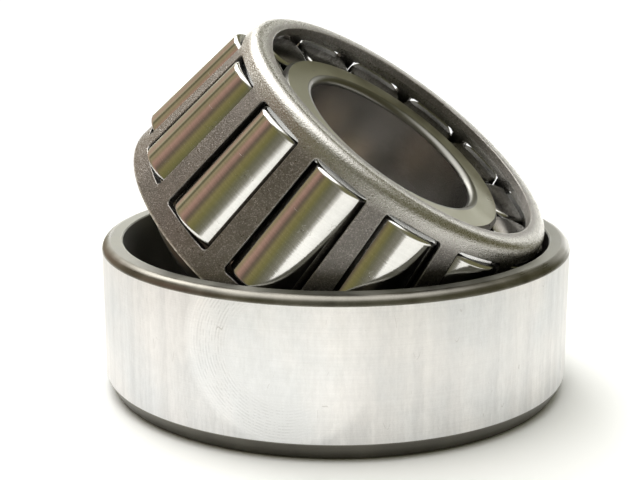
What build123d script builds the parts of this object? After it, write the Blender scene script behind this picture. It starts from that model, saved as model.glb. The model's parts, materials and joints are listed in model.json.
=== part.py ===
"""Single-row tapered roller bearing with its cone assembly lying loose in its cup.

Millimetres, +Z up. The origin is the centre of the cup's back face, which lies on the table,
so the cup stands round +Z with its wide mouth upward. The cone assembly (inner ring, cage and
rollers) leans in the mouth with its small end up and to the +X side.
"""

import os
from math import asin, cos, pi, radians, sin, sqrt, tan

from build123d import *

os.makedirs("parts", exist_ok=True)

# ---- Boundary dimensions -------------------------------------------------------------------
outside_diameter = 62.0
bore_diameter = 25.0
cup_width = 20.0
inner_ring_width = 24.0
assembled_width = 25.25                     # back face to back face when the bearing is closed
contact_angle = radians(11 + 18 / 60 + 36 / 3600)
cup_small_diameter = 48.637                 # raceway diameter at the cup's back face

# ---- Cup edges -----------------------------------------------------------------------------
cup_front_round = 1.15
cup_back_chamfer_axial = 2.1
cup_back_chamfer_radial = 1.2
cup_back_chamfer_blend = 0.4
cup_mouth_break = 0.15
cup_throat_round = 0.8

# ---- Rollers -------------------------------------------------------------------------------
roller_count = 14
roller_large_radius = 4.85
roller_track_radius = 27.8                  # from the axis to the outside of a roller's large end
roller_length = 16.7
roller_corner = 0.55
roller_crown_radius = 129.0                 # large end is part of a ball, so it bears near its middle
roller_dimple_radius = 1.6
roller_dimple_depth = 0.25

# ---- Inner ring ----------------------------------------------------------------------------
back_face_to_rim = 4.24                     # back face stands this far beyond the cage's rim
guide_rib_radius = 22.5
guide_rib_round = 0.8
guide_face_round = 0.35
front_rib_radius = 16.92
front_rib_chamfer = 0.5
relief_width = 0.9
relief_depth = 0.35
bore_back_round = 1.5
bore_front_round = 0.95

# ---- Cage ----------------------------------------------------------------------------------
cage_rim_radius = 27.43
cage_sheet = 1.2
cage_height = 22.2
cage_lip_radius = 20.33
cage_bend = 1.4
cage_edge_round = 0.12
pocket_edge_round = 0.12
pocket_rim_bar = 2.76                       # cage rim to the pockets' wide end, along the axis
pocket_length = 17.07                       # along the axis
pocket_wide_half = 4.39
pocket_narrow_half = 3.88
pocket_corner = 0.6

# ---- Running clearances --------------------------------------------------------------------
cup_play = 0.08                             # rollers to the cup's raceway, when closed
race_play = 0.05                            # roller to inner raceway, and roller to guide rib
front_rib_play = 0.3                        # roller's small end to the front rib
cage_play = 0.1                             # roller to the cage's bars
cage_end_play = 0.2                         # roller's ends to the pocket's ends, inside the sheet

# ---- How the cone assembly lies in the cup ---------------------------------------------------
lean = radians(36.231)                      # tilt of its axis from the vertical
lean_heading = radians(-18.846)             # compass direction of that tilt, from +X
cage_turn = radians(-113.757)               # first pocket, about the axis, from the low side
rim_centre = Vector(-3.48, 1.181, 16.891)  # centre of the cage's rim circle

# ---- Geometry that follows -----------------------------------------------------------------
outside_radius = outside_diameter / 2
bore_radius = bore_diameter / 2
cup_throat_radius = cup_small_diameter / 2
cup_mouth_radius = cup_throat_radius + cup_width * tan(contact_angle)

# Heights along the assembly's axis are counted from the cage's rim plane, towards the small end.
# All raceway cones and roller axes meet in one point on that axis, the apex.
cup_front_height = assembled_width - cup_width - back_face_to_rim
apex_height = cup_front_height + (cup_mouth_radius - cup_play) / tan(contact_angle)
roller_slant = roller_track_radius / sin(contact_angle)
roller_half_angle = asin(roller_large_radius / roller_slant)
roller_tilt = contact_angle - roller_half_angle
inner_race_angle = roller_tilt - roller_half_angle
apex_to_large_end = roller_slant * cos(roller_half_angle)
roller_small_radius = roller_large_radius - roller_length * tan(roller_half_angle)
large_end_height = apex_height - apex_to_large_end * cos(roller_tilt)
large_end_radius = apex_to_large_end * sin(roller_tilt)
pocket_pitch = 2 * pi / roller_count

lean_axis = Vector(sin(lean) * cos(lean_heading), sin(lean) * sin(lean_heading), cos(lean))
downhill = Vector(cos(lean) * cos(lean_heading), cos(lean) * sin(lean_heading), -sin(lean))
cone_seat = Plane(origin=rim_centre, x_dir=downhill, z_dir=lean_axis)
cone_section = Plane(origin=rim_centre, x_dir=downhill, z_dir=-cone_seat.y_dir)
cone_axis = Axis(rim_centre, lean_axis)


def outward_direction(index):
    """Direction from the assembly's axis through the middle of one pocket."""
    angle = cage_turn + index * pocket_pitch
    return cone_seat.x_dir * cos(angle) + cone_seat.y_dir * sin(angle)


def roller_section(index):
    """Plane through one roller's axis: x across the roller, y along it, origin on its large end."""
    outward = outward_direction(index)
    along = lean_axis * cos(roller_tilt) - outward * sin(roller_tilt)
    across = outward * cos(roller_tilt) + lean_axis * sin(roller_tilt)
    centre = rim_centre + lean_axis * large_end_height + outward * large_end_radius
    return Plane(origin=centre, x_dir=across, z_dir=across.cross(along))


def pocket_face(index):
    """Plane on the cage's outer wall at one pocket's wide end: y runs up the wall."""
    outward = outward_direction(index)
    along = lean_axis * cos(contact_angle) - outward * sin(contact_angle)
    normal = outward * cos(contact_angle) + lean_axis * sin(contact_angle)
    wall_radius = cage_rim_radius - pocket_rim_bar * tan(contact_angle)
    corner = rim_centre + lean_axis * pocket_rim_bar + outward * wall_radius
    return Plane(origin=corner, x_dir=along.cross(normal), z_dir=normal)


def corner_at(profile, across, along):
    """The vertex of a profile that lies nearest to a place in it."""
    return profile.vertices().sort_by_distance(Vector(across, along))[0]


# ---- Cup -----------------------------------------------------------------------------------
back_chamfer_radius = outside_radius - cup_back_chamfer_radial

with BuildPart() as cup:
    with BuildSketch(Plane.XZ) as cup_profile:
        with BuildLine():
            Polyline(
                (cup_throat_radius, 0),
                (back_chamfer_radius, 0),
                (outside_radius, cup_back_chamfer_axial),
                (outside_radius, cup_width),
                (cup_mouth_radius, cup_width),
                close=True,
            )
        make_face()
        fillet(corner_at(cup_profile, cup_throat_radius, 0), cup_throat_round)
        fillet(corner_at(cup_profile, back_chamfer_radius, 0), cup_back_chamfer_blend)
        fillet(corner_at(cup_profile, outside_radius, cup_back_chamfer_axial), cup_back_chamfer_blend)
        fillet(corner_at(cup_profile, outside_radius, cup_width), cup_front_round)
        chamfer(corner_at(cup_profile, cup_mouth_radius, cup_width), cup_mouth_break)
    revolve(axis=Axis.Z)

cup.part.label = "cup"
export_step(cup.part, "parts/cup.step")

# ---- Inner ring ----------------------------------------------------------------------------
# The raceway is the cone that touches every roller, less the running play. A relief groove is
# ground at each end of it. The guide rib's face stands square to the rollers' large ends.
race_slope = tan(inner_race_angle)
rib_slope = tan(roller_tilt)
rib_face_offset = race_play / cos(roller_tilt)
front_face_height = inner_ring_width - back_face_to_rim


def race_radius(height):
    """Radius of the inner raceway at a height along the axis."""
    return (apex_height - height) * race_slope - race_play / cos(inner_race_angle)


def guide_rib_height(radius):
    """Height of the guide rib's face at a radius."""
    return large_end_height + (radius - large_end_radius) * rib_slope - rib_face_offset


small_end_height = large_end_height + roller_length * cos(roller_tilt)
small_end_radius = large_end_radius - roller_length * sin(roller_tilt)


def front_rib_height(radius):
    """Height of the front rib's inner face at a radius."""
    return small_end_height + (radius - small_end_radius) * rib_slope + front_rib_play


race_start = guide_rib_height(race_radius(large_end_height)) + relief_width
race_end = front_rib_height(race_radius(small_end_height)) - relief_width
relief_back_radius = race_radius(race_start) - relief_depth
relief_front_radius = race_radius(race_end) - relief_depth
guide_rib_top = guide_rib_height(guide_rib_radius)

with BuildPart() as inner_ring:
    with BuildSketch(cone_section) as ring_profile:
        with BuildLine():
            Polyline(
                (bore_radius, -back_face_to_rim),
                (guide_rib_radius, -back_face_to_rim),
                (guide_rib_radius, guide_rib_top),
                (relief_back_radius, guide_rib_height(relief_back_radius)),
                (relief_back_radius, race_start - relief_depth),
                (race_radius(race_start), race_start),
                (race_radius(race_end), race_end),
                (relief_front_radius, race_end + relief_depth),
                (relief_front_radius, front_rib_height(relief_front_radius)),
                (front_rib_radius, front_rib_height(front_rib_radius)),
                (front_rib_radius, front_face_height),
                (bore_radius, front_face_height),
                close=True,
            )
        make_face()
        fillet(corner_at(ring_profile, bore_radius, -back_face_to_rim), bore_back_round)
        fillet(corner_at(ring_profile, guide_rib_radius, -back_face_to_rim), guide_rib_round)
        fillet(corner_at(ring_profile, guide_rib_radius, guide_rib_top), guide_face_round)
        fillet(corner_at(ring_profile, bore_radius, front_face_height), bore_front_round)
        chamfer(corner_at(ring_profile, front_rib_radius, front_face_height), front_rib_chamfer)
    revolve(axis=cone_axis)

inner_ring.part.label = "inner_ring"
export_step(inner_ring.part, "parts/inner_ring.step")

# ---- Cage ----------------------------------------------------------------------------------
wall_taper = tan(contact_angle)
wall_across = cage_sheet / cos(contact_angle)   # sheet thickness measured square to the axis
flange_height = cage_height - cage_sheet
pocket_slant = pocket_length / cos(contact_angle)
bend_radius = cage_rim_radius - cage_height * wall_taper
bend_inside_radius = cage_rim_radius - wall_across - flange_height * wall_taper


def is_pocket_rim(edge):
    """Whether an edge is part of a pocket's outline on the cage's outer wall."""
    for end in (edge @ 0, edge @ 0.5, edge @ 1):
        reach = end - rim_centre
        height = reach.dot(lean_axis)
        radius = (reach - lean_axis * height).length
        on_wall = abs(radius - cage_rim_radius + height * wall_taper) < 0.01
        if not on_wall or not 1 < height < cage_height - cage_bend:
            return False
    return True


with BuildPart() as cage:
    with BuildSketch(cone_section) as cage_profile:
        with BuildLine():
            Polyline(
                (cage_rim_radius, 0),
                (bend_radius, cage_height),
                (cage_lip_radius, cage_height),
                (cage_lip_radius, flange_height),
                (bend_inside_radius, flange_height),
                (cage_rim_radius - wall_across, 0),
                close=True,
            )
        make_face()
        fillet(corner_at(cage_profile, bend_radius, cage_height), cage_bend)
        fillet(corner_at(cage_profile, bend_inside_radius, flange_height), cage_bend - cage_sheet)
        fillet(corner_at(cage_profile, cage_lip_radius, cage_height), cage_edge_round)
        fillet(corner_at(cage_profile, cage_lip_radius, flange_height), cage_edge_round)
        fillet(corner_at(cage_profile, cage_rim_radius, 0), cage_edge_round)
        fillet(corner_at(cage_profile, cage_rim_radius - wall_across, 0), cage_edge_round)
    revolve(axis=cone_axis)
    for index in range(roller_count):
        with BuildSketch(pocket_face(index)) as pocket:
            with BuildLine():
                Polyline(
                    (-pocket_wide_half, 0),
                    (pocket_wide_half, 0),
                    (pocket_narrow_half, pocket_slant),
                    (-pocket_narrow_half, pocket_slant),
                    close=True,
                )
            make_face()
            fillet(pocket.vertices(), pocket_corner)
        extrude(amount=3 * cage_sheet, both=True, mode=Mode.SUBTRACT)
    pocket_rims = cage.edges().filter_by(is_pocket_rim)
    fillet(pocket_rims, pocket_edge_round)
    for index in range(roller_count):
        section = roller_section(index)
        with BuildSketch(section):
            with BuildLine():
                Polyline(
                    (0, -cage_end_play),
                    (roller_large_radius + cage_play, -cage_end_play),
                    (roller_small_radius + cage_play, roller_length + cage_end_play),
                    (0, roller_length + cage_end_play),
                    close=True,
                )
            make_face()
        revolve(axis=Axis(section.origin, section.y_dir), mode=Mode.SUBTRACT)

cage.part.label = "cage"
export_step(cage.part, "parts/cage.step")

# ---- Rollers -------------------------------------------------------------------------------
def crown_drop(radius):
    """How far the crowned large end falls back at a radius from the roller's axis."""
    return roller_crown_radius - sqrt(roller_crown_radius**2 - radius**2)


for index in range(roller_count):
    section = roller_section(index)
    with BuildPart() as roller:
        with BuildSketch(section) as roller_profile:
            with BuildLine():
                Polyline(
                    (roller_large_radius, crown_drop(roller_large_radius)),
                    (roller_small_radius, roller_length),
                    (0, roller_length),
                    (0, 0),
                )
                ThreePointArc(
                    (0, 0),
                    (roller_large_radius / 2, crown_drop(roller_large_radius / 2)),
                    (roller_large_radius, crown_drop(roller_large_radius)),
                )
            make_face()
            rim_corners = roller_profile.vertices().sort_by(Axis.X)[-2:]
            fillet(rim_corners, roller_corner)
        revolve(axis=Axis(section.origin, section.y_dir))
        with BuildSketch(Plane(origin=section.origin, z_dir=section.y_dir)):
            Circle(roller_dimple_radius)
        extrude(amount=roller_dimple_depth, mode=Mode.SUBTRACT)
    node = f"roller_{index + 1:02d}"
    roller.part.label = node
    export_step(roller.part, f"parts/{node}.step")
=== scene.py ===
"""Looks of a tapered roller bearing whose cone assembly leans in its cup."""

import json
from math import asin, atan2, cos, pi, radians, sin, sqrt, tan

import bpy
from mathutils import Matrix, Vector


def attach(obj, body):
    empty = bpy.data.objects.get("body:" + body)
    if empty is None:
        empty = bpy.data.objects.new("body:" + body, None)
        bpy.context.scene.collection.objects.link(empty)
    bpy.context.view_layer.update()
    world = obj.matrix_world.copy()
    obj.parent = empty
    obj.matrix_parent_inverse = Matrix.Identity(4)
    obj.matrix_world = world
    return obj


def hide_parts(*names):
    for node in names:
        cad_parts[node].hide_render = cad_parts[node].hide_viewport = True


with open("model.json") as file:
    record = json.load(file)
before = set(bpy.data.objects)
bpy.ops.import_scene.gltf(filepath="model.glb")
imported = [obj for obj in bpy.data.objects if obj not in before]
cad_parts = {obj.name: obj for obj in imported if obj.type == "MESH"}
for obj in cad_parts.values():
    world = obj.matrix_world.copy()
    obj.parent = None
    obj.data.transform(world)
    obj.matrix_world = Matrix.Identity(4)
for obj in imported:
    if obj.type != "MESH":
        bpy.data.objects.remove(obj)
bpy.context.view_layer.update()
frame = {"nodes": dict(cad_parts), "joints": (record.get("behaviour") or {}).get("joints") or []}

MM = 0.001
joints = {joint["name"]: joint for joint in frame["joints"]}

# ---- Camera --------------------------------------------------------------------------------
CAMERA_PLACE = (0, -0.1798, 0.0640)
CAMERA_DIP = radians(14.09)
CAMERA_TURN = radians(0.665)
CAMERA_LENS = 77.6
CAMERA_NEAREST = 0.01

camera_data = bpy.data.cameras.new("camera")
camera_data.lens = CAMERA_LENS
camera_data.clip_start = CAMERA_NEAREST
camera = bpy.data.objects.new("camera", camera_data)
camera.location = CAMERA_PLACE
camera.rotation_euler = (pi / 2 - CAMERA_DIP, 0, CAMERA_TURN)
bpy.context.collection.objects.link(camera)
bpy.context.scene.camera = camera
bpy.context.scene.view_settings.view_transform = "Standard"

# ---- Sizes, in millimetres and radians -----------------------------------------------------
CONTACT_ANGLE = radians(11 + 18 / 60 + 36 / 3600)
OUTSIDE_RADIUS = 31.0
CUP_WIDTH = 20.0
CUP_THROAT_RADIUS = 24.3185
CUP_MOUTH_RADIUS = CUP_THROAT_RADIUS + CUP_WIDTH * tan(CONTACT_ANGLE)
CUP_FRONT_ROUND = 1.15
CUP_BACK_CHAMFER_AXIAL = 2.1
CUP_BACK_CHAMFER_RADIAL = 1.2
CUP_BACK_CHAMFER_BLEND = 0.4
CUP_MOUTH_BREAK = 0.15
CUP_THROAT_ROUND = 0.8

ASSEMBLED_WIDTH = 25.25
BACK_FACE_TO_RIM = 4.24
CUP_PLAY = 0.08
RACE_PLAY = 0.05
FRONT_RIB_PLAY = 0.3

ROLLER_COUNT = 14
ROLLER_LARGE_RADIUS = 4.85
ROLLER_TRACK_RADIUS = 27.8
ROLLER_LENGTH = 16.7
ROLLER_CORNER = 0.55
ROLLER_CROWN = 129.0
ROLLER_DIMPLE_RADIUS = 1.6
ROLLER_DIMPLE_DEPTH = 0.25

RING_WIDTH = 24.0
BORE_RADIUS = 12.5
BORE_BACK_ROUND = 1.5
BORE_FRONT_ROUND = 0.95
GUIDE_RIB_RADIUS = 22.5
GUIDE_RIB_ROUND = 0.8
FRONT_RIB_RADIUS = 16.92
FRONT_RIB_CHAMFER = 0.5
RELIEF_WIDTH = 0.9
RELIEF_DEPTH = 0.35

# Heights along the cone assembly's axis are counted from the cage's rim plane.
apex_height = ASSEMBLED_WIDTH - CUP_WIDTH - BACK_FACE_TO_RIM
apex_height += (CUP_MOUTH_RADIUS - CUP_PLAY) / tan(CONTACT_ANGLE)
roller_slant = ROLLER_TRACK_RADIUS / sin(CONTACT_ANGLE)
roller_half_angle = asin(ROLLER_LARGE_RADIUS / roller_slant)
roller_small_radius = ROLLER_LARGE_RADIUS - ROLLER_LENGTH * tan(roller_half_angle)
roller_tilt = CONTACT_ANGLE - roller_half_angle
race_angle = roller_tilt - roller_half_angle
apex_to_large_end = roller_slant * cos(roller_half_angle)
large_end_height = apex_height - apex_to_large_end * cos(roller_tilt)
large_end_radius = apex_to_large_end * sin(roller_tilt)
small_end_height = large_end_height + ROLLER_LENGTH * cos(roller_tilt)
small_end_radius = large_end_radius - ROLLER_LENGTH * sin(roller_tilt)


# ---- Lathe: turned pieces from a rounded outline -------------------------------------------
ARC_STEP = radians(7.5)
FEWEST_ARC_STEPS = 4
TINY = 1e-6


def rounded(corners, closed):
    """Outline with arcs at its corners.

    A corner is (radius, height, round, finish of its arc, finish of the run after it).
    Returns rows of (radius, height, normal_radius, normal_height, finish).
    """
    count = len(corners)
    rows = []
    for i, (x, y, size, arc_finish, run_finish) in enumerate(corners):
        here = Vector((x, y))
        before = Vector(corners[i - 1][:2]) if closed or i > 0 else None
        after = Vector(corners[(i + 1) % count][:2]) if closed or i < count - 1 else None
        way_in = (here - before).normalized() if before else None
        way_out = (after - here).normalized() if after else None
        way_in = way_in or way_out
        way_out = way_out or way_in
        turn = atan2(way_in.cross(way_out), way_in.dot(way_out))
        if size == 0 or abs(turn) < TINY:
            rows.append((x, y, way_in.y, -way_in.x, run_finish))
            rows.append((x, y, way_out.y, -way_out.x, run_finish))
            continue
        start = here - way_in * size * abs(tan(turn / 2))
        side = 1 if turn > 0 else -1
        centre = start + Vector((-way_in.y, way_in.x)) * size * side
        steps = max(FEWEST_ARC_STEPS, int(abs(turn) / ARC_STEP))
        for step in range(steps + 1):
            arm = Matrix.Rotation(turn * step / steps, 2) @ (start - centre)
            point = centre + arm
            normal = arm.normalized() * side
            finish = arc_finish if step < steps else run_finish
            rows.append((point.x, point.y, normal.x, normal.y, finish))
    return rows


def lathe(name, rows, segments, closed, materials):
    """Mesh object of an outline turned about its own Z axis, with exact smooth normals."""
    turns = [2 * pi * s / segments for s in range(segments)]
    count = len(rows)
    places = []
    normals = []
    first = []
    for x, y, nx, ny, _ in rows:
        first.append(len(places))
        for turn in turns if x > 0 else turns[:1]:
            places.append((x * cos(turn) * MM, x * sin(turn) * MM, y * MM))
            normals.append((nx * cos(turn), nx * sin(turn), ny))
    faces = []
    finishes = []
    for r in range(count if closed else count - 1):
        q = (r + 1) % count
        if abs(rows[r][0] - rows[q][0]) + abs(rows[r][1] - rows[q][1]) < TINY:
            continue
        for s in range(segments):
            t = (s + 1) % segments
            ring = [first[r] + s, first[r] + t, first[q] + t, first[q] + s]
            if rows[r][0] <= 0:
                ring = [first[r], ring[2], ring[3]]
            elif rows[q][0] <= 0:
                ring = [ring[0], ring[1], first[q]]
            faces.append(ring)
            finishes.append(rows[r][4])
    mesh = bpy.data.meshes.new(name)
    mesh.from_pydata(places, [], faces)
    for material in materials:
        mesh.materials.append(material)
    mesh.polygons.foreach_set("material_index", finishes)
    mesh.shade_smooth()
    mesh.normals_split_custom_set_from_vertices(normals)
    mesh.update()
    piece = bpy.data.objects.new(name, mesh)
    bpy.context.collection.objects.link(piece)
    return piece


def seat(piece, place, axis, towards):
    """Stands a turned piece on its axis, with its X axis towards a direction."""
    up = Vector(axis).normalized()
    across = (Vector(towards) - up * up.dot(Vector(towards))).normalized()
    turn = Matrix((across, up.cross(across), up)).transposed().to_4x4()
    piece.matrix_world = Matrix.Translation(place) @ turn


# ---- Materials -----------------------------------------------------------------------------
MICRON = 0.000001

# Most values of a noise lie between these two.
NOISE_LOW = 0.3
NOISE_HIGH = 0.7


def add(tree, kind, inputs=(), **settings):
    """A node with its settings made and its inputs linked or set; returns the node."""
    node = tree.nodes.new("ShaderNode" + kind)
    for key, value in settings.items():
        setattr(node, key, value)
    for key, value in dict(inputs).items():
        if isinstance(value, bpy.types.NodeSocket):
            tree.links.new(value, node.inputs[key])
        else:
            node.inputs[key].default_value = value
    return node


def start_material(name):
    """A new material with its node tree and its surface shader."""
    material = bpy.data.materials.new(name)
    material.use_nodes = True
    tree = material.node_tree
    return material, tree, tree.nodes["Principled BSDF"]


def reckon(tree, operation, first, second=0.0):
    """Arithmetic on one or two numbers."""
    return add(tree, "Math", {0: first, 1: second}, operation=operation).outputs[0]


def times(tree, first, second):
    """The product of two numbers."""
    return reckon(tree, "MULTIPLY", first, second)


def between(tree, value, low, high, to_low, to_high):
    """Maps a value from one range to another, held at both ends."""
    held = add(tree, "MapRange", {0: value, 1: low, 2: high, 3: to_low, 4: to_high})
    return held.outputs[0]


def shade(tree, noise, lowest, highest=1.0):
    """Maps the usual range of a noise to a factor."""
    return between(tree, noise, NOISE_LOW, NOISE_HIGH, lowest, highest)


def blend(tree, weight, below, above):
    """Mixes two colours: below where weight is 0, above where it is 1."""
    return add(tree, "MixRGB", {0: weight, 1: below, 2: above}).outputs[0]


def scaled(tree, vector, factor):
    """A vector or colour times a number."""
    return add(tree, "VectorMath", {0: vector, "Scale": factor}, operation="SCALE").outputs[0]


def bumped(tree, height, distance, below=None, invert=False):
    """Normal of a bumpy surface, on top of another normal where one is given."""
    inputs = {"Height": height, "Strength": 1.0, "Distance": distance}
    if below:
        inputs["Normal"] = below
    return add(tree, "Bump", inputs, invert=invert).outputs[0]


def stretched_noise(tree, place, stretch, detail=2.0):
    """Noise whose grain is stretched: stretch is its number of grains per metre along each axis."""
    squeezed = add(tree, "VectorMath", {0: place, 1: stretch}, operation="MULTIPLY")
    noise = add(tree, "TexNoise", {"Vector": squeezed.outputs[0], "Scale": 1, "Detail": detail})
    return noise.outputs["Fac"]


def painted_crevice_shade(tree, reach, darkest):
    """Painted shade: 1 on open surfaces, falling to darkest deep between the pieces."""
    openness = add(tree, "AmbientOcclusion", {"Distance": reach}, samples=4).outputs["AO"]
    return between(tree, openness, 0.15, 0.85, darkest, 1.0)


def edge_wear_and_highlight(tree, width):
    """1 along sharp edges, which are painted bright: partly wear, partly a painted highlight."""
    rounded_normal = add(tree, "Bevel", {"Radius": width}, samples=6).outputs[0]
    flat_normal = add(tree, "NewGeometry").outputs["Normal"]
    match = add(tree, "VectorMath", {0: rounded_normal, 1: flat_normal}, operation="DOT_PRODUCT")
    return between(tree, match.outputs["Value"], 0.995, 0.90, 0.0, 1.0)


def scratches(tree, place, stretch, rarity):
    """Sparse thin marks: 1 on a mark. The lower the rarity, the more marks."""
    middle = 0.5
    reach = 0.008
    thin = stretched_noise(tree, place, stretch, 1.0)
    rising = between(tree, thin, middle - reach, middle, 0, 1)
    falling = between(tree, thin, middle, middle + reach, 1, 0)
    spots = stretched_noise(tree, place, (420, 420, 420))
    present = between(tree, spots, rarity, rarity + 0.03, 0, 1)
    return times(tree, times(tree, rising, falling), present)


def steel(name, colour, rough, grain, lift, shades, marks=0.62, edge=0.00012, darkest=0.6, aniso=0.0):
    """Turned or ground steel: grain runs round the piece's own Z axis.

    rough is the shader's roughness, grain is lines per metre across the surface, lift is the
    bump in metres, shades is how much the colour drifts, marks is how rare the scratches are,
    edge is how wide the bright edges (wear and painted highlight) are, in metres, darkest is how
    dark the painted shade deep between the pieces is, and aniso stretches the highlights across
    the grain.
    """
    crevice_shade_reach = 0.004
    scratch_colour = (0.25, 0.24, 0.22, 1)
    wear_and_highlight_colour = (*[min(0.9, part * 1.7) for part in colour], 1)
    unevenness = min(0.2, 3 * shades)

    material, tree, shader = start_material(name)
    place = add(tree, "TexCoord").outputs["Object"]
    lines = stretched_noise(tree, place, (60, 60, grain), 3.0)
    drift = stretched_noise(tree, place, (260, 260, 90), 3.0)
    speck = stretched_noise(tree, place, (5200, 5200, 5200))
    mark = scratches(tree, place, (900, 340, 700), marks)
    wear_and_highlight = edge_wear_and_highlight(tree, edge)

    tint = shade(tree, drift, 1 - shades)
    tint = times(tree, tint, shade(tree, lines, 1 - shades / 2))
    tint = times(tree, tint, shade(tree, speck, 1 - shades / 3))
    # Painted shade: darker deep between the pieces.
    tint = times(tree, tint, painted_crevice_shade(tree, crevice_shade_reach, darkest))
    base = scaled(tree, colour, tint)
    # Edges painted bright: wear and a painted highlight.
    base = blend(tree, times(tree, wear_and_highlight, 0.8), base, wear_and_highlight_colour)
    base = blend(tree, times(tree, mark, 0.5), base, scratch_colour)
    tree.links.new(base, shader.inputs["Base Color"])

    finish = between(tree, lines, 0.25, 0.75, rough * (1 - unevenness), rough * (1 + unevenness))
    finish = times(tree, finish, shade(tree, drift, 1 - unevenness, 1 + unevenness))
    tree.links.new(finish, shader.inputs["Roughness"])

    turned = bumped(tree, lines, lift)
    dented = bumped(tree, mark, 4 * MICRON, turned, invert=True)
    tree.links.new(dented, shader.inputs["Normal"])
    shader.inputs["Metallic"].default_value = 1.0
    shader.inputs["Anisotropic"].default_value = aniso
    return material


# darkest in each finish below sets its painted shade deep between the pieces.
cup_edge = steel(
    "cup_edge", (0.24, 0.23, 0.20), rough=0.40, grain=5000, lift=4 * MICRON, shades=0.25,
)
# Lighter than cup_edge: the front round is painted brighter to strengthen its highlight, a painted
# highlight.
cup_round = steel(
    "cup_front_round", (0.28, 0.265, 0.235), rough=0.34, grain=6500, lift=4 * MICRON, shades=0.40,
    edge=0.0002,
)
# Its wide bright edge band paints the bright line along the mouth: a painted highlight.
cup_face = steel(
    "cup_face", (0.32, 0.315, 0.285), rough=0.50, grain=6000, lift=3 * MICRON, shades=0.3,
    edge=0.0003,
)
cup_race = steel(
    "cup_race", (0.32, 0.31, 0.28), rough=0.32, grain=7000, lift=0.5 * MICRON, shades=0.03,
    marks=0.9,
)
ring_face = steel(
    "ring_face", (0.42, 0.412, 0.33), rough=0.36, grain=4000, lift=1.5 * MICRON, shades=0.10,
)
# Near-black back face and guide rib: painted shade, with strong painted shade deep between the pieces.
ring_rib_shade = steel(
    "ring_rib_shade", (0.12, 0.117, 0.108), rough=0.34, grain=4000, lift=1.5 * MICRON, shades=0.08,
    darkest=0.12,
)
ring_edge = steel(
    "ring_edge", (0.20, 0.195, 0.18), rough=0.34, grain=4000, lift=MICRON, shades=0.10,
)
ring_bore = steel(
    "ring_bore", (0.80, 0.785, 0.77), rough=0.20, grain=5000, lift=0.0, shades=0.03,
    marks=0.9, aniso=0.7, darkest=1.0,
)
ring_race = steel(
    "ring_race", (0.60, 0.59, 0.56), rough=0.18, grain=9000, lift=MICRON, shades=0.06,
    darkest=0.3,
)
roller_side = steel(
    "roller_side", (0.80, 0.79, 0.77), rough=0.10, grain=4200, lift=4.5 * MICRON, shades=0.17,
    marks=0.60, darkest=0.5,
)
roller_end = steel(
    "roller_end", (0.72, 0.71, 0.69), rough=0.20, grain=5000, lift=MICRON, shades=0.05,
    darkest=0.12,
)


def polishing_arcs(tree, place, clouds, weave):
    """Arcs left by a polishing cloth on the front of the cup's wall.

    Returns the tone of the arcs and the weight of the buffed patch that they lie in.
    """
    centre = (-0.006, 0, 0.0134)
    pitch = 0.00037
    wander = 9.0
    inner, inner_fade = 0.0060, 0.0015
    outer, outer_fade, patch_fade = 0.0120, 0.0020, 0.0010

    front = add(tree, "VectorMath", {0: place, 1: (1, 0, 1)}, operation="MULTIPLY").outputs[0]
    arm = add(tree, "VectorMath", {0: front, 1: centre}, operation="SUBTRACT").outputs[0]
    distance = add(tree, "VectorMath", {0: arm}, operation="LENGTH").outputs["Value"]
    sideways = add(tree, "SeparateXYZ", {0: arm}).outputs[0]
    depth = add(tree, "SeparateXYZ", {0: place}).outputs[1]
    facing = between(tree, depth, -0.015, -0.022, 0, 1)

    phase = times(tree, distance, 2 * pi / pitch)
    phase = reckon(tree, "ADD", phase, times(tree, clouds, wander))
    wave = between(tree, reckon(tree, "SINE", phase), -1, 1, 0, 1)
    inside = between(tree, distance, inner, inner + inner_fade, 0, 1)
    outside = between(tree, distance, outer, outer - outer_fade, 0, 1)
    leftward = between(tree, sideways, 0.004, 0.0, 0, 1)
    broken = between(tree, weave, 0.42, 0.56, 0, 1)
    arcs = times(tree, times(tree, inside, outside), times(tree, leftward, facing))
    tone = times(tree, times(tree, arcs, broken), wave)

    patch = times(tree, between(tree, distance, outer, outer - patch_fade, 0, 1), facing)
    patch = times(tree, patch, between(tree, sideways, 0.012, 0.006, 0, 1))
    return tone, patch


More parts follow.
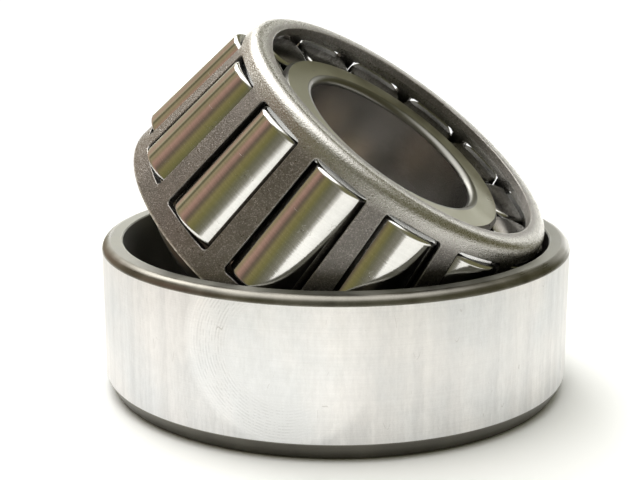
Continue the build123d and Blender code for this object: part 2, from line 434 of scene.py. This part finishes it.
def cup_wall_material():
    """Ground cylinder: pale silver, with upright tone streaks and a patch of fine polishing arcs."""
    cool_silver = (0.835, 0.84, 0.85, 1)
    warm_silver = (0.885, 0.865, 0.855, 1)
    buffed_tint = (1.14, 1.14, 1.12, 1)
    scratch_colour = (0.34, 0.32, 0.30, 1)
    wear_and_highlight_colour = (0.9, 0.9, 0.9, 1)
    wear_and_highlight_width = 0.00025

    material, tree, shader = start_material("cup_wall")
    place = add(tree, "TexCoord").outputs["Object"]
    lines = stretched_noise(tree, place, (45, 45, 9000), 3.0)
    weave = stretched_noise(tree, place, (2600, 2600, 700))
    streaks = stretched_noise(tree, place, (620, 620, 14), 4.0)
    clouds = stretched_noise(tree, place, (75, 75, 60), 4.0)
    speck = stretched_noise(tree, place, (6500, 6500, 6500))
    mark = scratches(tree, place, (520, 520, 130), 0.635)
    arcs, patch = polishing_arcs(tree, place, clouds, weave)

    tint = between(tree, streaks, 0.32, 0.68, 0.82, 1.0)
    tint = blend(tree, times(tree, patch, 0.75), tint, buffed_tint)
    tint = times(tree, tint, shade(tree, clouds, 0.88))
    tint = times(tree, tint, shade(tree, lines, 0.93))
    tint = times(tree, tint, between(tree, weave, 0.35, 0.65, 0.93, 1.0))
    tint = times(tree, tint, shade(tree, speck, 0.94))
    tint = times(tree, tint, between(tree, arcs, 0, 1, 1.0, 0.84))
    silver = blend(tree, between(tree, clouds, 0.42, 0.60, 0, 1), cool_silver, warm_silver)
    base = scaled(tree, silver, tint)
    base = blend(tree, times(tree, mark, 0.6), base, scratch_colour)
    # Edges painted bright: wear and a painted highlight.
    base = blend(tree, times(tree, edge_wear_and_highlight(tree, wear_and_highlight_width), 0.7), base, wear_and_highlight_colour)
    tree.links.new(base, shader.inputs["Base Color"])

    finish = shade(tree, streaks, 0.34, 0.44)
    finish = times(tree, finish, shade(tree, lines, 0.88, 1.1))
    tree.links.new(finish, shader.inputs["Roughness"])

    ground = bumped(tree, lines, 4 * MICRON)
    polished = bumped(tree, arcs, 6 * MICRON, ground)
    dented = bumped(tree, mark, 8 * MICRON, polished, invert=True)
    tree.links.new(dented, shader.inputs["Normal"])
    shader.inputs["Metallic"].default_value = 1.0
    shader.inputs["Anisotropic"].default_value = 0.4
    return material


cup_wall = cup_wall_material()
cage = frame["nodes"]["cage"]


def cage_material():
    """Phosphated sheet steel: dull grey-brown with a fine sparkling grain and bright edges, partly wear and
    partly a painted highlight.

    The bend that leads in to the lip is painted paler, a painted highlight, and is smoother.
    The rim's edge is painted bright: a bare sheared edge and a painted highlight.
    """
    phosphate = (0.270, 0.252, 0.240)
    bend_highlight_colour = (0.50, 0.485, 0.46, 1)
    wear_and_highlight_colour = (0.72, 0.70, 0.66, 1)
    sheared_and_highlit_colour = (0.80, 0.78, 0.74, 1)
    wear_and_highlight_width = 0.00022
    crevice_shade_reach = 0.005
    # Along the cage's axis from its rim, then across from the axis.
    rim_line_full, rim_line_ends = 0.00012, 0.00034
    bend_starts, bend_full = 0.0196, 0.0212
    lip_face_ends, bend_radius = 0.0208, 0.0216

    material, tree, shader = start_material("cage_sheet")
    place = add(tree, "TexCoord").outputs["Object"]
    fine = stretched_noise(tree, place, (6500, 6500, 6500))
    flakes = add(tree, "TexVoronoi", {"Vector": place, "Scale": 9000.0})
    flake = add(tree, "SeparateXYZ", {0: flakes.outputs["Color"]}).outputs[0]
    drift = stretched_noise(tree, place, (220, 220, 220), 3.0)
    edge_patchiness = stretched_noise(tree, place, (1500, 1500, 1500), 3.0)

    to_cage = cage.matrix_world.inverted()
    rim = to_cage @ Vector(joints["inner_ring_spin"]["pos_m"])
    axis = (to_cage.to_3x3() @ Vector(joints["inner_ring_spin"]["axis"])).normalized()
    arm = add(tree, "VectorMath", {0: place, 1: rim}, operation="SUBTRACT").outputs[0]
    along = add(tree, "VectorMath", {0: arm, 1: axis}, operation="DOT_PRODUCT").outputs["Value"]
    up = scaled(tree, axis, along)
    out = add(tree, "VectorMath", {0: arm, 1: up}, operation="SUBTRACT").outputs[0]
    across = add(tree, "VectorMath", {0: out}, operation="LENGTH").outputs["Value"]

    ragged = reckon(tree, "ADD", along, times(tree, drift, 0.0012))
    bend_highlight = between(tree, ragged, bend_starts, bend_full, 0, 1)
    bend_highlight = times(tree, bend_highlight, between(tree, across, lip_face_ends, bend_radius, 0, 1))
    wear_and_highlight = times(tree, edge_wear_and_highlight(tree, wear_and_highlight_width), between(tree, edge_patchiness, 0.35, 0.6, 0.25, 1.0))
    sheared_and_highlit = between(tree, along, rim_line_full, rim_line_ends, 1, 0)
    sheared_and_highlit = times(tree, sheared_and_highlit, between(tree, edge_patchiness, 0.3, 0.55, 0.3, 1.0))

    tint = shade(tree, drift, 0.82)
    tint = times(tree, tint, between(tree, flake, 0.72, 1, 0.92, 1.75))
    tint = times(tree, tint, shade(tree, fine, 0.86, 1.12))
    # Painted shade: darker deep between the pieces.
    tint = times(tree, tint, painted_crevice_shade(tree, crevice_shade_reach, 0.3))
    base = scaled(tree, phosphate, tint)
    # Painted highlight: the bend into the lip is painted paler.
    base = blend(tree, times(tree, bend_highlight, 0.8), base, bend_highlight_colour)
    # Edges painted bright: wear and a painted highlight.
    base = blend(tree, wear_and_highlight, base, wear_and_highlight_colour)
    # The rim's edge painted bright: a bare sheared edge and a painted highlight.
    base = blend(tree, sheared_and_highlit, base, sheared_and_highlit_colour)
    tree.links.new(base, shader.inputs["Base Color"])

    finish = between(tree, flake, 0, 1, 0.27, 0.5)
    finish = times(tree, finish, between(tree, wear_and_highlight, 0, 1, 1.0, 0.7))
    finish = times(tree, finish, between(tree, bend_highlight, 0, 1, 1.0, 0.75))
    tree.links.new(finish, shader.inputs["Roughness"])
    tree.links.new(bumped(tree, fine, 60 * MICRON), shader.inputs["Normal"])
    shader.inputs["Metallic"].default_value = 0.95
    return material


cage_sheet = cage_material()
cage.data.materials.clear()
cage.data.materials.append(cage_sheet)

# ---- Cup -----------------------------------------------------------------------------------
CUP_SEGMENTS = 720
# An outline names each finish by its place in the piece's list.
cup_finishes = [cup_wall, cup_edge, cup_face, cup_race, cup_round]
WALL, EDGE, FACE, RACE, ROUND = range(len(cup_finishes))
mouth_inward = CUP_MOUTH_BREAK * tan(CONTACT_ANGLE)

cup_outline = rounded([
    (CUP_THROAT_RADIUS, 0, CUP_THROAT_ROUND, EDGE, FACE),
    (OUTSIDE_RADIUS - CUP_BACK_CHAMFER_RADIAL, 0, CUP_BACK_CHAMFER_BLEND, EDGE, EDGE),
    (OUTSIDE_RADIUS, CUP_BACK_CHAMFER_AXIAL, CUP_BACK_CHAMFER_BLEND, EDGE, WALL),
    (OUTSIDE_RADIUS, CUP_WIDTH, CUP_FRONT_ROUND, ROUND, FACE),
    (CUP_MOUTH_RADIUS + CUP_MOUTH_BREAK, CUP_WIDTH, 0, EDGE, FACE),
    (CUP_MOUTH_RADIUS - mouth_inward, CUP_WIDTH - CUP_MOUTH_BREAK, 0, RACE, RACE),
], True)
cup = lathe("cup_ground", cup_outline, CUP_SEGMENTS, True, cup_finishes)
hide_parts("cup")
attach(cup, "cup")


# ---- Inner ring ----------------------------------------------------------------------------
def race_radius(height):
    """Radius of the inner raceway at a height along the axis."""
    return (apex_height - height) * tan(race_angle) - RACE_PLAY / cos(race_angle)


def guide_rib_height(radius):
    """Height of the guide rib's face at a radius."""
    rise = (radius - large_end_radius) * tan(roller_tilt)
    return large_end_height + rise - RACE_PLAY / cos(roller_tilt)


def front_rib_height(radius):
    """Height of the front rib's inner face at a radius."""
    return small_end_height + (radius - small_end_radius) * tan(roller_tilt) + FRONT_RIB_PLAY


race_start = guide_rib_height(race_radius(large_end_height)) + RELIEF_WIDTH
race_end = front_rib_height(race_radius(small_end_height)) - RELIEF_WIDTH
relief_back = race_radius(race_start) - RELIEF_DEPTH
relief_front = race_radius(race_end) - RELIEF_DEPTH
ring_front = RING_WIDTH - BACK_FACE_TO_RIM

RING_SEGMENTS = 512
ring_finishes = [ring_face, ring_bore, ring_race, ring_edge, ring_rib_shade]
FACE, BORE, RACE, EDGE, RIB = range(len(ring_finishes))

# RIB is the near-black painted shade of the back face and the guide rib.
ring_outline = rounded([
    (BORE_RADIUS, -BACK_FACE_TO_RIM, BORE_BACK_ROUND, EDGE, RIB),
    (GUIDE_RIB_RADIUS, -BACK_FACE_TO_RIM, GUIDE_RIB_ROUND, RIB, RIB),
    (GUIDE_RIB_RADIUS, guide_rib_height(GUIDE_RIB_RADIUS), RELIEF_DEPTH, EDGE, RACE),
    (relief_back, guide_rib_height(relief_back), 0, EDGE, EDGE),
    (relief_back, race_start - RELIEF_DEPTH, 0, EDGE, EDGE),
    (race_radius(race_start), race_start, 0, RACE, RACE),
    (race_radius(race_end), race_end, 0, EDGE, EDGE),
    (relief_front, race_end + RELIEF_DEPTH, 0, EDGE, EDGE),
    (relief_front, front_rib_height(relief_front), 0, RACE, RACE),
    (FRONT_RIB_RADIUS, front_rib_height(FRONT_RIB_RADIUS), 0, EDGE, EDGE),
    (FRONT_RIB_RADIUS, ring_front - FRONT_RIB_CHAMFER, 0, EDGE, EDGE),
    (FRONT_RIB_RADIUS - FRONT_RIB_CHAMFER, ring_front, 0, FACE, FACE),
    (BORE_RADIUS, ring_front, BORE_FRONT_ROUND, EDGE, BORE),
], True)
ring = lathe("inner_ring_ground", ring_outline, RING_SEGMENTS, True, ring_finishes)
spin = joints["inner_ring_spin"]
seat(ring, spin["pos_m"], spin["axis"], (0, 0, 1))
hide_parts("inner_ring")
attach(ring, "inner_ring")

# ---- Rollers -------------------------------------------------------------------------------
ROLLER_SEGMENTS = 256
CROWN_STEPS = 5
roller_finishes = [roller_side, roller_end]
SIDE, END = range(len(roller_finishes))


def crown_drop(radius):
    """How far the crowned large end falls back at a radius from the roller's axis."""
    return ROLLER_CROWN - sqrt(ROLLER_CROWN**2 - radius**2)


crown_step = (ROLLER_LARGE_RADIUS - ROLLER_DIMPLE_RADIUS) / CROWN_STEPS
crown = [ROLLER_DIMPLE_RADIUS + i * crown_step for i in range(CROWN_STEPS)]
roller_outline = rounded(
    [
        (0, ROLLER_DIMPLE_DEPTH, 0, END, END),
        (ROLLER_DIMPLE_RADIUS, ROLLER_DIMPLE_DEPTH, 0, END, END),
    ]
    + [(radius, crown_drop(radius), 0, END, END) for radius in crown]
    + [
        (ROLLER_LARGE_RADIUS, crown_drop(ROLLER_LARGE_RADIUS), ROLLER_CORNER, END, SIDE),
        (roller_small_radius, ROLLER_LENGTH, ROLLER_CORNER, END, END),
        (0, ROLLER_LENGTH, 0, END, END),
    ],
    False,
)
for index in range(ROLLER_COUNT):
    node = f"roller_{index + 1:02d}"
    roller = lathe(f"{node}_ground", roller_outline, ROLLER_SEGMENTS, False, roller_finishes)
    spin = joints[f"{node}_spin"]
    seat(roller, spin["pos_m"], spin["axis"], (0, 0, 1))
    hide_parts(node)
    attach(roller, node)

bpy.context.view_layer.update()

# ---- Floor ---------------------------------------------------------------------------------
FLOOR_RADIUS = 0.125
FLOOR_DROP = 0.0001
FLOOR_SEGMENTS = 96
FLOOR_COLOUR = (0.88, 0.885, 0.89, 1)
FLOOR_ROUGHNESS = 0.9

floor_mesh = bpy.data.meshes.new("floor")
floor_turns = [2 * pi * i / FLOOR_SEGMENTS for i in range(FLOOR_SEGMENTS)]
floor_rim = [(FLOOR_RADIUS * cos(turn), FLOOR_RADIUS * sin(turn), -FLOOR_DROP) for turn in floor_turns]
floor_mesh.from_pydata(floor_rim, [], [tuple(range(FLOOR_SEGMENTS))])
floor = bpy.data.objects.new("floor", floor_mesh)
bpy.context.collection.objects.link(floor)
floor_material, tree, shader = start_material("floor")
shader.inputs["Base Color"].default_value = FLOOR_COLOUR
shader.inputs["Roughness"].default_value = FLOOR_ROUGHNESS
floor_mesh.materials.append(floor_material)

# ---- Studio light --------------------------------------------------------------------------
# A white table, white light overhead and a white sweep behind, in a dim olive room whose
# left side has cream, pinkish and olive surfaces.
ROOM = (0.20, 0.19, 0.10)
SIDES = [
    # azimuth round the left side, colour there
    (110, (0.46, 0.43, 0.29)),
    (122, (0.50, 0.40, 0.29)),
    (134, (0.52, 0.36, 0.27)),
    (145, (0.50, 0.44, 0.30)),
    (150, (0.17, 0.155, 0.09)),
    (155, (0.16, 0.145, 0.085)),
    (163, (0.40, 0.34, 0.20)),
    (171, (0.36, 0.28, 0.17)),
    (184, (0.50, 0.31, 0.24)),
    (196, (0.32, 0.205, 0.16)),
    (205, (0.16, 0.125, 0.09)),
    (211, (0.19, 0.155, 0.095)),
    (219, (0.27, 0.235, 0.10)),
    (231, (0.21, 0.195, 0.075)),
    (243, (0.18, 0.175, 0.11)),
    (256, (0.25, 0.24, 0.19)),
    (272, (0.24, 0.23, 0.18)),
]
SIDES_HEIGHT = 37
SIDES_FADE_START = 8
SIDES_FADE_END = 30
SIDES_FADE_TOP = 4
BEYOND_TABLE = (1.1, 1.1, 1.1, 1)
PATCHES = [
    # azimuth, half width, lowest, highest and softness in degrees, then radiance
    (80, 26, -90, 16, 4, (2.7, 2.7, 2.6)),           # sweep behind
    (122, 26, 34, 75, 6, (8.0, 8.0, 7.7)),           # lamp above it, at its left
    (-90, 180, -90, -14, 8, (1.27, 1.25, 1.18)),     # table all round
    (150, 70, 52, 90, 14, (3.7, 3.7, 3.6)),          # overhead, left and behind
    (-30, 110, 58, 90, 12, (2.9, 2.9, 2.85)),        # overhead, right and in front
]

world = bpy.data.worlds.new("studio")
bpy.context.scene.world = world
world.use_nodes = True
tree = world.node_tree
split = add(tree, "SeparateXYZ", {0: add(tree, "TexCoord").outputs["Generated"]})
flat = add(tree, "CombineXYZ", {0: split.outputs[0], 1: split.outputs[1]}).outputs[0]
flat = add(tree, "VectorMath", {0: flat}, operation="NORMALIZE").outputs[0]
height = reckon(tree, "ARCSINE", split.outputs[2])


def soft_step(value, low, high):
    """0 below low and 1 above high, with a smooth ramp between."""
    ramp = add(tree, "MapRange", {0: value, 1: low, 2: high}, interpolation_type="SMOOTHSTEP")
    return ramp.outputs[0]


# Compass bearing from 0 to a full turn.
bearing = reckon(tree, "ARCTAN2", split.outputs[1], split.outputs[0])
bearing = reckon(tree, "MODULO", reckon(tree, "ADD", bearing, 2 * pi), 2 * pi)
first_side, last_side = SIDES[0][0], SIDES[-1][0]
swing = between(tree, bearing, radians(first_side), radians(last_side), 0, 1)
ramp = add(tree, "ValToRGB", {0: swing})
stops = ramp.color_ramp.elements
while len(stops) < len(SIDES):
    stops.new(0.5)
# Blender sorts the stops as they move, so they get their colours afterwards.
for stop, (azimuth, _) in zip(stops, SIDES):
    stop.position = (azimuth - first_side) / (last_side - first_side)
for stop, (_, colour) in zip(stops, SIDES):
    stop.color = (*colour, 1)
from_start = soft_step(bearing, radians(first_side - SIDES_FADE_START), radians(first_side))
from_end = soft_step(bearing, radians(last_side + SIDES_FADE_END), radians(last_side))
from_top = soft_step(height, radians(SIDES_HEIGHT + SIDES_FADE_TOP), radians(SIDES_HEIGHT - SIDES_FADE_TOP))
weight = times(tree, times(tree, from_start, from_end), from_top)
light = blend(tree, weight, (*ROOM, 1), ramp.outputs[0])

for azimuth, half, lowest, highest, soft, radiance in PATCHES:
    steps = []
    if lowest > -90:
        steps.append(soft_step(height, radians(lowest - soft), radians(lowest + soft)))
    if highest < 90:
        steps.append(soft_step(height, radians(highest + soft), radians(highest - soft)))
    if half < 180:
        middle = (cos(radians(azimuth)), sin(radians(azimuth)), 0)
        near = add(tree, "VectorMath", {0: flat, 1: middle}, operation="DOT_PRODUCT").outputs["Value"]
        steps.append(soft_step(near, cos(radians(half + soft)), cos(radians(half - soft))))
    weight = steps[0]
    for step in steps[1:]:
        weight = times(tree, weight, step)
    light = blend(tree, weight, light, (*radiance, 1))

# The camera sees plain white beyond the table.
seen = add(tree, "LightPath").outputs["Is Camera Ray"]
light = blend(tree, seen, light, BEYOND_TABLE)
tree.links.new(light, tree.nodes["Background"].inputs["Color"])
